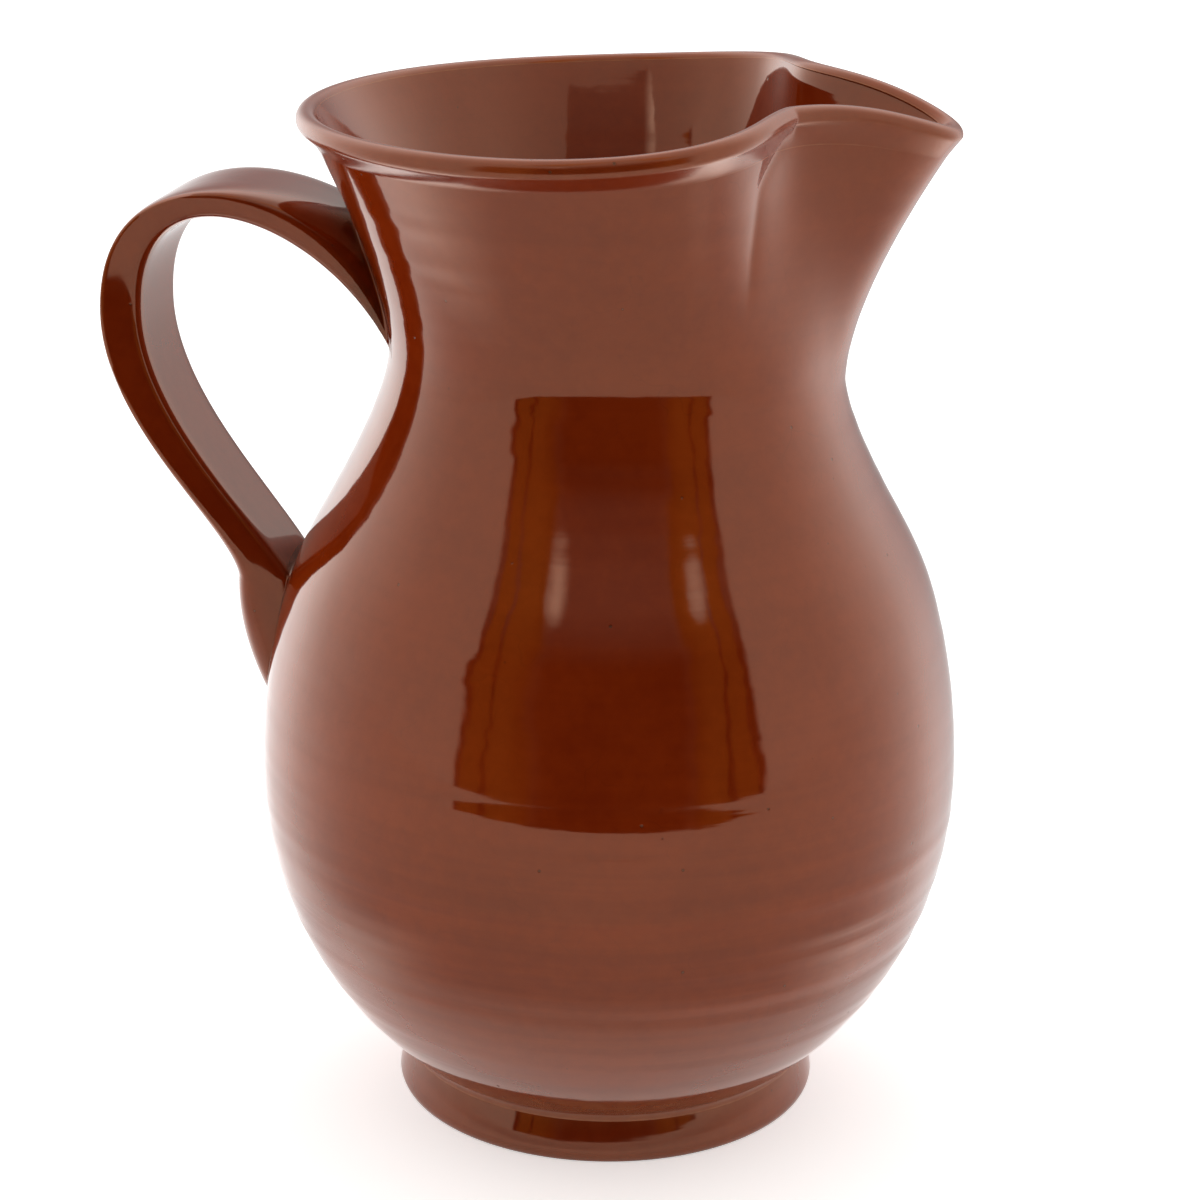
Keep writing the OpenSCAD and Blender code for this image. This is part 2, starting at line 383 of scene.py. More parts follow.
def outerRadius(a, z, creased=1.0):
    pulled = spoutBulge(z) * beakShare(a)
    pinched = spout["pinch"] * pinchShare(a) * riseShare(z) ** spout["pinchRise"]
    return wallOut(z) + pulled - pinched - creased * creaseDepth(a, z)


def flatNormal(a, z, creased=1.0):
    step = 0.4
    radius = outerRadius(a, z, creased)
    change = outerRadius(a + step, z, creased) - outerRadius(a - step, z, creased)
    change /= math.radians(2 * step)
    turn = np.radians(a)
    normal = np.stack([
        radius * np.cos(turn) + change * np.sin(turn),
        radius * np.sin(turn) - change * np.cos(turn)], axis=-1)
    return normal / np.linalg.norm(normal, axis=-1, keepdims=True)


def neckPoint(a, z, depth):
    turn = np.radians(a)
    creased = 1 - smoothStep(*crease["deepest"], depth)
    radius = outerRadius(a, z, creased)
    flat = np.stack([radius * np.cos(turn), radius * np.sin(turn)], axis=-1)
    flat = flat - flatNormal(a, z, creased) * depth[..., None]
    return np.concatenate([flat, (z + rimLift(a) * riseShare(z) ** 2)[..., None]], axis=-1)


# Angles are gathered towards the spout, where the shape is sharpest
def gatherAngles(a):
    share = a / 180
    return 180 * (0.5 * share + 0.5 * share ** 3)


def makeNeck():
    outer = rowsOf(belly["seam"], neck["rim"], neck["rowGap"])
    inner = rowsOf(neck["rim"] + neck["innerTop"], belly["seam"], neck["innerRowGap"])
    outline = list(zip(wallOut(outer), outer))
    outline += list(zip(wallIn(inner), inner))
    outline.append(outline[0])
    piece = turnProfile("neckWall", outline, neck["steps"])
    points = vertexArray(piece)
    around = gatherAngles(np.degrees(np.arctan2(points[:, 1], points[:, 0])))
    height = points[:, 2]
    depth = wallOut(height) - np.hypot(points[:, 0], points[:, 1])
    push = throwingRidges(np.radians(around), height)
    push *= smoothStep(belly["seam"] + belly["seamNear"], belly["seam"] + belly["seamFar"], height)
    push *= 1 - smoothStep(neck["rim"] - neck["smoothFrom"], neck["rim"] - neck["smoothTo"], height)
    push *= np.where(depth > mm, 1, -1)
    moveVertices(piece, handWobble(neckPoint(around, height, depth + push)))
    smoothShade(piece, 40)
    return piece


neckWall = makeNeck()
print("neck and spout shaped:", len(neckWall.data.vertices), "vertices")

# Lip, rolled outwards over the neck's top edge
lip = {
    "radius": 2.1 * mm, "up": 0.3 * mm, "steps": 336, "section": 22, "under": 4.2 * mm, "corner": 3.3 * mm,
    "leaves": -50, "meets": 155, "drawnIn": 1.1 * mm, "drawnHalf": 32, "drawnTurn": 0.75,
    "sunkUp": 1.4 * mm, "sunkIn": 0.8 * mm, "skin": 0.02 * mm,
}


def rimPoints(a, below, depth):
    return neckPoint(a, np.full(len(a), neck["rim"] - below), np.broadcast_to(depth, a.shape))


# The bead flows into the wall below it through a hollow, and into the inner wall above
def makeLip():
    a = gatherAngles(np.arange(lip["steps"]) * 360 / lip["steps"] - 180)
    drawn = np.exp(-(a / lip["drawnHalf"]) ** 2)
    leaves = lip["leaves"] * (1 - lip["drawnTurn"] * drawn)
    middle = rimPoints(a, 0, neck["lipSet"] + lip["drawnIn"] * drawn)
    middle[:, 2] += lip["up"]
    normal = flatNormal(a, np.full(lip["steps"], neck["rim"]))

    def beadPoints(degrees, share=1.0):
        ring = middle.copy()
        turn = np.radians(np.broadcast_to(degrees, a.shape))
        ring[:, :2] += normal * (lip["radius"] * share * np.cos(turn))[:, None]
        ring[:, 2] += lip["radius"] * share * np.sin(turn)
        return ring

    start = rimPoints(a, lip["under"], -lip["skin"])
    corner = rimPoints(a, lip["corner"], -lip["skin"])
    hollow = [bend2(start, corner, beadPoints(leaves), t) for t in np.linspace(0, 1, 10)]
    bead = [beadPoints(between(leaves, lip["meets"], t)) for t in np.linspace(0, 1, lip["section"])]
    sunk = rimPoints(a, lip["under"] - lip["sunkUp"], lip["sunkIn"])
    rings = [sunk] + hollow + bead[1:] + [beadPoints(180, 0.5), sunk]
    return finishByHand(wrapGrid("rolledLip", rings), 60)


rolledLip = makeLip()
print("lip rolled")

# Foot ring, turned from the base, and the slip that lutes it on
foot = {
    "radius": 44.6 * mm, "height": 10.5 * mm, "width": 8 * mm, "widestAt": 1.6 * mm, "toe": 1.0 * mm,
    "waist": 2.3 * mm, "fillet": 1.8 * mm, "skin": 0.02 * mm, "draft": 1.5, "steps": 200,
}


def arcPoints(centre, radiusX, radiusZ, start, end, count):
    turns = np.radians(np.linspace(start, end, count))
    return [(centre[0] + radiusX * math.cos(t), centre[1] + radiusZ * math.sin(t)) for t in turns]


def footOut(z):
    share = (z - foot["widestAt"]) / (foot["height"] - foot["widestAt"])
    return foot["radius"] - foot["waist"] * np.maximum(share, 0) ** 1.2


def makeFoot():
    toe, low, top = foot["toe"], foot["widestAt"], foot["height"]
    inside = foot["radius"] - foot["width"]
    outline = arcPoints((inside + toe, toe), toe, toe, 180, 270, 6)
    outline += [(between(inside + toe, foot["radius"] - toe, s), 0) for s in (0.25, 0.5, 0.75)]
    outline += arcPoints((foot["radius"] - toe, low), toe, low, 270, 360, 9)
    rise = np.linspace(low, top, 16)[1:]
    outline += list(zip(footOut(rise), rise))
    outer = float(footOut(top))
    innerTop = inside - foot["draft"] * toe
    outline += [(between(outer, innerTop, s), top) for s in (0.3, 0.6, 1)]
    outline += [(between(innerTop, inside, s), between(top, toe, s)) for s in (0.25, 0.5, 0.75, 1)]
    return finishByHand(turnProfile("footRing", outline, foot["steps"]), 40)


def makeFootSlip():
    inside = foot["radius"] - foot["width"] - foot["draft"] * foot["toe"]
    low, high = foot["height"] - foot["fillet"], belly["under"] + foot["fillet"] * 0.8
    start = np.array([float(footOut(low)) + foot["skin"], low])
    end = np.array([float(bellyOut(high)) + foot["skin"], high])
    middle = np.array([float(footOut(foot["height"])), between(foot["height"], belly["under"], 0.5)])
    outline = [(inside, foot["height"]), (start[0] - 1.5 * mm, foot["height"]), (start[0] - 0.6 * mm, low)]
    outline += [tuple(bend2(start, middle, end, t)) for t in np.linspace(0, 1, 12)]
    outline += [(end[0] - 1.2 * mm, high + 0.1 * mm), (end[0] - 3 * mm, belly["under"])]
    outline.append((inside, belly["under"]))
    outline.append(outline[0])
    return finishByHand(turnProfile("footSlip", outline, foot["steps"]), 60)


footRing = makeFoot()
footSlip = makeFootSlip()
print("foot turned and luted")

# Strap handle, pulled, bent and pressed on
strap = {
    "width": 25 * mm, "thick": 8.25 * mm, "join": 174 * mm, "rootUp": 10 * mm, "rootDown": 15 * mm,
    "pull": 32 * mm, "reach": 102.5 * mm, "reachAt": 167 * mm, "land": 111 * mm, "landThick": 10.5 * mm,
    "tail": 83 * mm, "flare": 1.6 * mm, "turn": 4, "rings": 60, "section": 96,
    "buried": 2.4 * mm, "fillet": 1.5 * mm, "filletWay": 0.045, "filletSunk": 0.8 * mm, "skin": 0.03 * mm,
    "sideBend": 0.25, "sideEnd": 0.18, "crown": (1.0, 0.6), "shoulder": (0.8, 0.3), "topJoint": (0.75, 0.0),
    "tailJoint": (1.7, 3.0),
}
landRadius = float(bellyOut(strap["land"]))
tailRadius = float(bellyOut(strap["tail"]))
wall = belly["wall"]
outerAt = np.array([
    [neck["throat"] + wall * 0.1, strap["join"] + strap["rootUp"]], [strap["reach"], strap["reachAt"]],
    [landRadius + strap["landThick"], strap["land"]], [tailRadius - wall * 0.1, strap["tail"]]])
innerAt = np.array([
    [neck["throat"] - wall * 0.9, strap["join"] - strap["rootDown"]],
    [strap["reach"] - strap["thick"], strap["reachAt"]],
    [landRadius - wall * 0.4, strap["land"]], [tailRadius - wall * 1.6, strap["tail"]]])
outerLeave = strap["pull"] * np.array([[0.69, 0.42], [0.015, -0.75], [0.025, -0.28]])
outerMeet = strap["pull"] * np.array([[-0.015, 1], [0.03, 0.34], [0.17, 0.31]])
innerLeave = strap["pull"] * np.array([[0.44, 0.92], [0.015, -0.66], [-0.06, -0.28]])
innerMeet = strap["pull"] * np.array([[0, 1.03], [0.27, 0.45], [-0.03, 0.28]])
halfWidths = np.array([0.6, 0.5, 0.42, 0.34]) * strap["width"]
sideTops = np.array([-0.9, 0.75, 0.1, -0.9])
crispEdges = np.array([0.0, 0.9, 0.3, 0.0])


def railPoint(at, leave, meet, leg, u):
    a, b, c, d = at[leg], at[leg] + leave[leg], at[leg + 1] + meet[leg], at[leg + 1]
    v = 1 - u
    return a * v**3 + b * 3 * u * v * v + c * 3 * u * u * v + d * u**3


# Outline across the strap: flat sides up to a share of its thickness, crowned above it
def strapSection(sideTop, crisp, count):
    turn = np.linspace(0, 2 * math.pi, 2001)
    c, e = np.cos(turn), np.sin(turn)
    below = sideTop - (1 + sideTop) * np.abs(e) ** strap["sideBend"]
    above = sideTop + (1 - sideTop) * np.abs(e) ** between(*strap["crown"], crisp)
    n = np.where(e < 0, below, above)
    y = np.sign(c) * np.abs(c) ** np.where(e < 0, strap["sideEnd"], between(*strap["shoulder"], crisp))
    length = np.concatenate([[0], np.cumsum(np.hypot(np.diff(y) * 2.3, np.diff(n)))])
    where = np.linspace(0, length[-1], count, endpoint=False)
    return np.interp(where, length, y), np.interp(where, length, n)


# Value at a way along the strap, on a smooth curve through its values at the legs' ends
def alongStrap(values, leg, u):
    slopes = np.gradient(values)
    rise = values[leg + 1] - values[leg]
    curl = u * (1 - u) * ((1 - u) * (slopes[leg] - rise) - u * (slopes[leg + 1] - rise))
    return values[leg] + rise * u + curl


# Ring of the strap at a way along it, 0 to 3, where whole numbers are the ends of its legs
def strapRing(way, grow=0.0):
    leg = min(int(way), 2)
    u = way - leg
    o = railPoint(outerAt, outerLeave, outerMeet, leg, u)
    i = railPoint(innerAt, innerLeave, innerMeet, leg, u)
    middle, thick = (o + i) / 2, np.linalg.norm(o - i) / 2
    out = (o - i) / (2 * thick)
    fade = 1 - (1 - u) ** 4 if leg == 0 else u * u * (3 - 2 * u)
    sideTop = between(sideTops[leg], sideTops[leg + 1], fade)
    crisp = between(crispEdges[leg], crispEdges[leg + 1], fade)
    y, n = strapSection(sideTop, crisp, strap["section"])
    wide = alongStrap(halfWidths, leg, u) + strap["flare"] / 2 * n + grow
    away = (thick + grow) * n
    skew = wide * y * math.tan(math.radians(strap["turn"]))
    return np.stack([skew - middle[0] - out[0] * away, wide * y, middle[1] + out[1] * away], axis=1)


# Ends stay inside the wall and don't come out of its inner face
def keepBuried(ring, depth):
    radius = np.hypot(ring[:, 0], ring[:, 1])
    least = wallOut(ring[:, 2]) - depth
    buried = ring.copy()
    buried[:, :2] *= (np.maximum(radius, least) / radius)[:, None]
    return buried


def makeStrap():
    ways = np.linspace(0, 3, 3 * strap["rings"] + 1)
    rings = [keepBuried(strapRing(way), strap["buried"]) for way in ways]
    return finishByHand(wrapGrid("strapHandle", rings), 50)


strapHandle = makeStrap()
print("strap pulled:", len(strapHandle.data.vertices), "vertices")


# Way along the strap at which each line of it meets the wall
def contactWays(start, end, count=240):
    ways = np.linspace(start, end, count)
    rings = np.array([strapRing(way) for way in ways])
    gap = np.hypot(rings[..., 0], rings[..., 1]) - wallOut(rings[..., 2])
    found = np.full(strap["section"], end, dtype=float)
    for line in range(strap["section"]):
        inside = np.nonzero(gap[:, line] < 0)[0]
        if len(inside):
            k = max(inside[0], 1)
            share = gap[k - 1, line] / (gap[k - 1, line] - gap[k, line] + 1e-12)
            found[line] = between(ways[k - 1], ways[k], np.clip(share, 0, 1))
    return found


def strapPoints(ways, grow=0.0):
    return np.array([strapRing(way, grow)[line] for line, way in enumerate(ways)])


# Slip squeezed out at a joint: a hollow fillet from the strap to the wall
def makeJoint(name, start, end):
    ways = contactWays(start, end)
    toward = 1 if end > start else -1
    touch = strapPoints(ways)
    above = strapPoints(np.clip(ways - toward * strap["filletWay"], 0, 3), strap["skin"])
    spread = strapPoints(ways, strap["fillet"])
    radius = np.hypot(spread[:, 0], spread[:, 1])
    onWall = spread.copy()
    onWall[:, :2] *= ((wallOut(spread[:, 2]) + strap["skin"]) / radius)[:, None]
    rise = np.linalg.norm(above - touch, axis=1, keepdims=True)
    above = touch + (above - touch) * np.minimum(1, strap["fillet"] / np.maximum(rise, 1e-9))
    rows = [bend2(above, touch, onWall, t) for t in np.linspace(0, 1, 9)]
    sunkWall = keepBuried(onWall * np.array([0.985, 0.985, 1]), strap["filletSunk"])
    sunkStrap = between(above, touch.mean(0), 0.12)
    rows = [sunkStrap] + rows + [sunkWall, sunkStrap]
    return finishByHand(wrapGrid(name, rows), 60), touch


topSlip, topTouch = makeJoint("topSlip", *strap["topJoint"])
tailSlip, tailTouch = makeJoint("tailSlip", *strap["tailJoint"])
print("handle luted on")

# Where the glaze pools and where it runs thin, as shares stored on each mesh; near the handle's joints the
# pool share is thick glaze and painted shade
glazeRunAndShade = {
    "near": 2.4 * mm, "wide": 6 * mm, "hollow": 2.0, "hollowMost": 0.6, "edge": 1.3, "edgeLeast": 0.06,
    "footLine": 0.9, "lineUp": 3 * mm, "lineHalf": 5 * mm, "lineIn": 4 * mm, "seam": 2 * mm, "rim": 1.2 * mm,
}


def bendShares(piece):
    mesh = piece.data
    points = vertexArray(piece)
    normals = np.empty(len(mesh.vertices) * 3)
    mesh.vertices.foreach_get("normal", normals)
    normals = normals.reshape(-1, 3)
    ends = np.empty(len(mesh.edges) * 2, dtype=np.int32)
    mesh.edges.foreach_get("vertices", ends)
    a, b = ends.reshape(-1, 2).T
    step = points[b] - points[a]
    square = np.maximum((step ** 2).sum(1), 1e-12)
    total = np.zeros(len(points))
    count = np.zeros(len(points))
    np.add.at(total, a, (step * normals[a]).sum(1) / square)
    np.add.at(total, b, -(step * normals[b]).sum(1) / square)
    np.add.at(count, a, 1)
    np.add.at(count, b, 1)
    return total / np.maximum(count, 1) * mm


def storeGlazeRunAndShade(piece, joints, reach):
    points = vertexArray(piece)
    bend = bendShares(piece)
    pool = np.clip(bend * glazeRunAndShade["hollow"], 0, glazeRunAndShade["hollowMost"])
    # Painted shade: the glaze is darkened near the handle's joints, widest at the strap's top root
    pool += nearShare(points, joints, reach)
    height = points[:, 2]
    ring = np.exp(-((height - belly["under"] - glazeRunAndShade["lineUp"]) / glazeRunAndShade["lineHalf"]) ** 2)
    ring *= np.hypot(points[:, 0], points[:, 1]) > foot["radius"] - glazeRunAndShade["lineIn"]
    seam = 1 - np.exp(-((height - belly["seam"]) / glazeRunAndShade["seam"]) ** 2)
    rim = neck["rim"] + rimLift(np.degrees(np.arctan2(points[:, 1], points[:, 0])))
    seam *= 1 - np.exp(-((height - rim + lip["under"]) / glazeRunAndShade["rim"]) ** 2)
    storeShare(piece, "pool", pool * seam)
    thin = np.clip(-bend * glazeRunAndShade["edge"] - glazeRunAndShade["edgeLeast"], 0, 1) * seam
    storeShare(piece, "thin", thin + glazeRunAndShade["footLine"] * ring)


# The wide reach spreads the painted shade over the strap's top root and its slip
for piece, joints, reach in (
    (bellyWall, tailTouch, "near"), (neckWall, topTouch, "near"), (rolledLip, [], "near"),
    (footRing, [], "near"), (footSlip, [], "near"), (strapHandle, topTouch, "wide"),
    (topSlip, topTouch, "wide"), (tailSlip, tailTouch, "near"),
):
    storeGlazeRunAndShade(piece, joints, glazeRunAndShade[reach])
print("glaze run worked out")


# Node helpers
def fillSocket(tree, socket, value):
    if isinstance(value, bpy.types.NodeSocket):
        tree.links.new(value, socket)
    else:
        socket.default_value = value


def addNode(tree, kind, props=None, **sockets):
    made = tree.nodes.new(kind)
    for name, value in (props or {}).items():
        setattr(made, name, value)
    for name, value in sockets.items():
        fillSocket(tree, made.inputs[name.replace("_", " ")], value)
    return made


def sums(tree, operation, *values):
    made = addNode(tree, "ShaderNodeMath", {"operation": operation})
    for place, value in enumerate(values):
        fillSocket(tree, made.inputs[place], value)
    return made.outputs[0]


def softStep(tree, value, low, high, toLow=0.0, toHigh=1.0):
    made = addNode(tree, "ShaderNodeMapRange", {"interpolation_type": "SMOOTHSTEP"}, Value=value)
    for name, number in (("From Min", low), ("From Max", high), ("To Min", toLow), ("To Max", toHigh)):
        made.inputs[name].default_value = number
    return made.outputs["Result"]


def blendColour(tree, share, first, second):
    made = addNode(tree, "ShaderNodeMix", {"data_type": "RGBA"})
    fillSocket(tree, made.inputs[0], share)
    fillSocket(tree, made.inputs[6], first)
    fillSocket(tree, made.inputs[7], second)
    return made.outputs[2]


def blendValue(tree, share, first, second):
    made = addNode(tree, "ShaderNodeMix", {"data_type": "FLOAT"})
    fillSocket(tree, made.inputs[0], share)
    fillSocket(tree, made.inputs[2], first)
    fillSocket(tree, made.inputs[3], second)
    return made.outputs[0]


def objectCoords(tree, stretch):
    coord = addNode(tree, "ShaderNodeTexCoord")
    turned = addNode(tree, "ShaderNodeMapping", Vector=coord.outputs["Object"], Scale=stretch)
    return turned.outputs["Vector"]


def newGroup(name, inputs, outputs):
    tree = bpy.data.node_groups.new(name, "ShaderNodeTree")
    for label, start in inputs.items():
        socket = tree.interface.new_socket(name=label, in_out="INPUT", socket_type="NodeSocketFloat")
        socket.default_value = start
    for label in outputs:
        tree.interface.new_socket(name=label, in_out="OUTPUT", socket_type="NodeSocketFloat")
    return tree, tree.nodes.new("NodeGroupInput"), tree.nodes.new("NodeGroupOutput")


def useGroup(tree, group, **values):
    made = tree.nodes.new("ShaderNodeGroup")
    made.node_tree = group
    for name, value in values.items():
        fillSocket(tree, made.inputs[name], value)
    return made.outputs


# Cloudy glaze with pinholes, hair cracks and an even ripple
def makeMottle():
    tree, given, out = newGroup("glazeMottle", {"Hairs": 1.0}, ("Cloud", "Speck", "Hair", "Ripple"))
    wide = objectCoords(tree, (1, 1, 1))
    cloud = addNode(tree, "ShaderNodeTexNoise", Vector=wide, Scale=42.0, Detail=4.0, Roughness=0.55)
    fine = addNode(tree, "ShaderNodeTexNoise", Vector=wide, Scale=310.0, Detail=3.0, Roughness=0.6)
    broad = sums(tree, "MULTIPLY", cloud.outputs["Fac"], 0.65)
    both = sums(tree, "MULTIPLY_ADD", fine.outputs["Fac"], 0.35, broad)
    fillSocket(tree, out.inputs["Cloud"], softStep(tree, both, 0.36, 0.64))
    cells = addNode(tree, "ShaderNodeTexVoronoi", Vector=wide, Scale=260.0, Randomness=1.0)
    dot = softStep(tree, cells.outputs["Distance"], 0.11, 0.05)
    tone = addNode(tree, "ShaderNodeSeparateColor", Color=cells.outputs["Color"])
    few = softStep(tree, tone.outputs[0], 0.86, 0.90)
    fillSocket(tree, out.inputs["Speck"], sums(tree, "MULTIPLY", dot, few))
    shift = addNode(tree, "ShaderNodeTexNoise", Vector=wide, Scale=60.0, Detail=2.0)
    bent = addNode(tree, "ShaderNodeMix", {"data_type": "VECTOR"})
    fillSocket(tree, bent.inputs[0], 0.018)
    fillSocket(tree, bent.inputs[4], wide)
    fillSocket(tree, bent.inputs[5], shift.outputs["Color"])
    cracks = addNode(
        tree, "ShaderNodeTexVoronoi", {"feature": "DISTANCE_TO_EDGE"}, Vector=bent.outputs[1], Scale=150.0)
    line = softStep(tree, cracks.outputs["Distance"], 0.014, 0.003)
    patch = addNode(tree, "ShaderNodeTexNoise", Vector=wide, Scale=55.0, Detail=1.0)
    seen = softStep(tree, patch.outputs["Fac"], 0.46, 0.64)
    hair = sums(tree, "MULTIPLY", line, seen)
    fillSocket(tree, out.inputs["Hair"], sums(tree, "MULTIPLY", hair, given.outputs["Hairs"]))
    ripple = addNode(tree, "ShaderNodeTexNoise", Vector=wide, Scale=150.0, Detail=2.0, Roughness=0.4)
    fillSocket(tree, out.inputs["Ripple"], ripple.outputs["Fac"])
    return tree


# Broken bands that run round the pot, as the wheel leaves them
def makeBands():
    tree, given, out = newGroup("wheelBands", {"Low": 1.0}, ("Band",))
    flat = objectCoords(tree, (7, 7, 190))
    streak = addNode(tree, "ShaderNodeTexNoise", Vector=flat, Scale=1.0, Detail=3.0, Roughness=0.6)
    height = addNode(tree, "ShaderNodeSeparateXYZ", Vector=objectCoords(tree, (1, 1, 1)))
    low = softStep(tree, height.outputs["Z"], 0.11, 0.05, 0.3, 1.0)
    band = softStep(tree, streak.outputs["Fac"], 0.34, 0.66, -0.5, 0.5)
    share = sums(tree, "MULTIPLY", band, sums(tree, "MULTIPLY", low, given.outputs["Low"]))
    fillSocket(tree, out.inputs["Band"], sums(tree, "ADD", share, 0.5))
    return tree


# Thick glaze in hollows, thick glaze and painted shade at the handle's joints, thin glaze on edges, with
# ragged borders
def makeRun():
    tree, given, out = newGroup("glazeRunAndShade", {"Pool Gain": 1.0, "Thin Gain": 1.0}, ("Pool", "Thin"))
    even = objectCoords(tree, (1, 1, 1))
    ragged = addNode(tree, "ShaderNodeTexNoise", Vector=even, Scale=230.0, Detail=3.0)
    torn = softStep(tree, ragged.outputs["Fac"], 0.25, 0.75, 0.6, 1.25)
    for name in ("Pool", "Thin"):
        stored = addNode(tree, "ShaderNodeAttribute", {"attribute_name": name.lower()})
        gain = sums(tree, "MULTIPLY", stored.outputs["Fac"], given.outputs[name + " Gain"])
        share = addNode(tree, "ShaderNodeMath", {"operation": "MULTIPLY", "use_clamp": True})
        fillSocket(tree, share.inputs[0], gain)
        fillSocket(tree, share.inputs[1], torn)
        fillSocket(tree, out.inputs[name], share.outputs[0])
    return tree


mottle = makeMottle()
bands = makeBands()
run = makeRun()
print("shared effects built")

# Honey-brown lead glaze over red clay
glazeColours = {
    "deep": (0.165, 0.0140, 0.0009, 1), "light": (0.245, 0.0270, 0.0020, 1),
    # The pooled colour is thick glaze in hollows, painted shade near the handle's joints, and the colour of
    # hair cracks
    "thin": (0.340, 0.1000, 0.0350, 1), "pooledAndShade": (0.045, 0.0055, 0.0008, 1),
    "speck": (0.020, 0.0040, 0.0015, 1), "sheen": (1.0, 0.60, 0.40, 1),
    "clay": (0.430, 0.1550, 0.0720, 1), "clayDark": (0.300, 0.0950, 0.0420, 1),
}
finish = {"ior": 1.88, "glazeRelief": 0.035 * mm, "clayRelief": 0.12 * mm}


def newMaterial(name):
    made = bpy.data.materials.new(name)
    made.use_nodes = True
    return made, made.node_tree


def makeGlaze(name, hairs, low, pool, thin, rough):
    made, tree = newMaterial(name)
    shader = tree.nodes["Principled BSDF"]
    spots = useGroup(tree, mottle, Hairs=hairs)
    ring = useGroup(tree, bands, Low=low)
    edge = useGroup(tree, run, **{"Pool Gain": pool, "Thin Gain": thin})
    share = sums(tree, "MULTIPLY_ADD", ring["Band"], 0.55, sums(tree, "MULTIPLY", spots["Cloud"], 0.45))
    colour = blendColour(tree, share, glazeColours["deep"], glazeColours["light"])
    colour = blendColour(tree, edge["Thin"], colour, glazeColours["thin"])
    # Darker where glaze pools in hollows, and painted shade near the handle's joints
    colour = blendColour(tree, sums(tree, "MULTIPLY", edge["Pool"], 0.7), colour, glazeColours["pooledAndShade"])
    colour = blendColour(tree, sums(tree, "MULTIPLY", spots["Hair"], 0.12), colour, glazeColours["pooledAndShade"])
    colour = blendColour(tree, sums(tree, "MULTIPLY", spots["Speck"], 0.75), colour, glazeColours["speck"])
    fillSocket(tree, shader.inputs["Base Color"], colour)
    gloss = sums(tree, "MULTIPLY_ADD", spots["Cloud"], 0.03, rough)
    gloss = sums(tree, "MULTIPLY_ADD", spots["Speck"], 0.25, gloss)
    fillSocket(tree, shader.inputs["Roughness"], gloss)
    shader.inputs["IOR"].default_value = finish["ior"]
    shader.inputs["Specular Tint"].default_value = glazeColours["sheen"]
    height = sums(tree, "MULTIPLY_ADD", ring["Band"], 0.5, spots["Ripple"])
    height = sums(tree, "MULTIPLY_ADD", spots["Speck"], -0.6, height)
    relief = addNode(tree, "ShaderNodeBump", Strength=1.0, Distance=finish["glazeRelief"], Height=height)
    fillSocket(tree, shader.inputs["Normal"], relief.outputs["Normal"])
    return made


# Bare fired clay where the pot was wiped before the kiln
def makeClay():
    made, tree = newMaterial("bareClay")
    shader = tree.nodes["Principled BSDF"]
    spots = useGroup(tree, mottle, Hairs=0.0)
    ring = useGroup(tree, bands, Low=0.5)
    even = objectCoords(tree, (1, 1, 1))
    grain = addNode(tree, "ShaderNodeTexNoise", Vector=even, Scale=1400.0, Detail=3.0)
    share = sums(tree, "MULTIPLY_ADD", grain.outputs["Fac"], 0.5, sums(tree, "MULTIPLY", spots["Cloud"], 0.5))
    colour = blendColour(tree, share, glazeColours["clayDark"], glazeColours["clay"])
    colour = blendColour(tree, sums(tree, "MULTIPLY", spots["Speck"], 0.6), colour, glazeColours["speck"])
    fillSocket(tree, shader.inputs["Base Color"], colour)
    fillSocket(tree, shader.inputs["Roughness"], softStep(tree, grain.outputs["Fac"], 0.3, 0.7, 0.72, 0.92))
    height = sums(tree, "MULTIPLY_ADD", ring["Band"], 0.5, grain.outputs["Fac"])
    relief = addNode(tree, "ShaderNodeBump", Strength=1.0, Distance=finish["clayRelief"], Height=height)
    fillSocket(tree, shader.inputs["Normal"], relief.outputs["Normal"])
    return made


bodyGlaze = makeGlaze("bodyGlaze", hairs=1.0, low=1.0, pool=0.9, thin=0.8, rough=0.045)
lipGlaze = makeGlaze("lipGlaze", hairs=0.3, low=0.2, pool=0.5, thin=1.5, rough=0.16)
strapGlaze = makeGlaze("strapGlaze", hairs=0.4, low=0.2, pool=1.0, thin=0.8, rough=0.045)
slipGlaze = makeGlaze("slipGlaze", hairs=0.2, low=0.2, pool=0.8, thin=0.3, rough=0.06)
footGlaze = makeGlaze("footGlaze", hairs=0.2, low=0.2, pool=0.1, thin=0.9, rough=0.06)
bareClay = makeClay()


def coat(piece, *materials):
    piece.data.materials.clear()
    for material in materials:
        piece.data.materials.append(material)


# Faces on the underside are left bare: material slot 1
bare = {"facing": -0.8, "up": 3 * mm, "in": 2 * mm, "footIn": 0.2 * mm, "footUp": 0.28 * mm}


def bareUnder(piece, isBare):
    mesh = piece.data
    centres = np.empty(len(mesh.polygons) * 3)
    normals = np.empty(len(mesh.polygons) * 3)
    mesh.polygons.foreach_get("center", centres)
    mesh.polygons.foreach_get("normal", normals)
    chosen = isBare(centres.reshape(-1, 3), normals.reshape(-1, 3))
    mesh.polygons.foreach_set("material_index", chosen.astype(np.int32))


def bellyIsBare(centre, normal):
    radius = np.hypot(centre[:, 0], centre[:, 1])
    low = centre[:, 2] < belly["under"] + bare["up"]
    return (normal[:, 2] < bare["facing"]) & (radius < foot["radius"] - bare["in"]) & low


def footIsBare(centre, normal):
    radius = np.hypot(centre[:, 0], centre[:, 1])
    inner = foot["radius"] - foot["width"] + bare["footIn"]
    return (radius < inner) | (centre[:, 2] < bare["footUp"])


coat(bellyWall, bodyGlaze, bareClay)
bareUnder(bellyWall, bellyIsBare)
coat(footRing, bodyGlaze, bareClay)
bareUnder(footRing, footIsBare)
for piece, glaze in (
    (neckWall, bodyGlaze), (rolledLip, lipGlaze), (footSlip, footGlaze),
    (strapHandle, strapGlaze), (topSlip, slipGlaze), (tailSlip, slipGlaze),
):
    coat(piece, glaze)
print("glazed")

